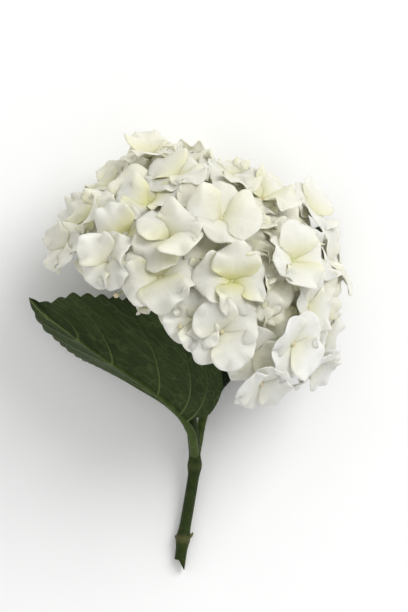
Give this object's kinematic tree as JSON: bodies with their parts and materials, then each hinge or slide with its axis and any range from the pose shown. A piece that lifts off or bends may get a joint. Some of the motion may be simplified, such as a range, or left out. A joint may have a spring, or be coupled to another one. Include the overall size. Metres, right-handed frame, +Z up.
{
  "type": "cut hydrangea stem",
  "caption": "Cut mophead hydrangea lying on a surface: a domed head of white four-sepalled florets on a short leafy stem, for bouquets, vases and table settings.",
  "frame": {"origin": "on the surface that the flower lies on, under the centre of its overall box", "axes": "+Y from the cut end of the stem towards the head, +X to the right seen from above with the head uppermost, +Z up from the surface"},
  "size_m": [0.1791, 0.2419, 0.146],
  "materials": {
    "stem": "satin",
    "leaf": "matte",
    "sepals": "matte"
  },
  "bodies": {
    "root": {"stem": "stem", "leaf_front": "leaf", "leaf_back": "leaf", "flower_head": "sepals"}
  },
  "joints": []
}
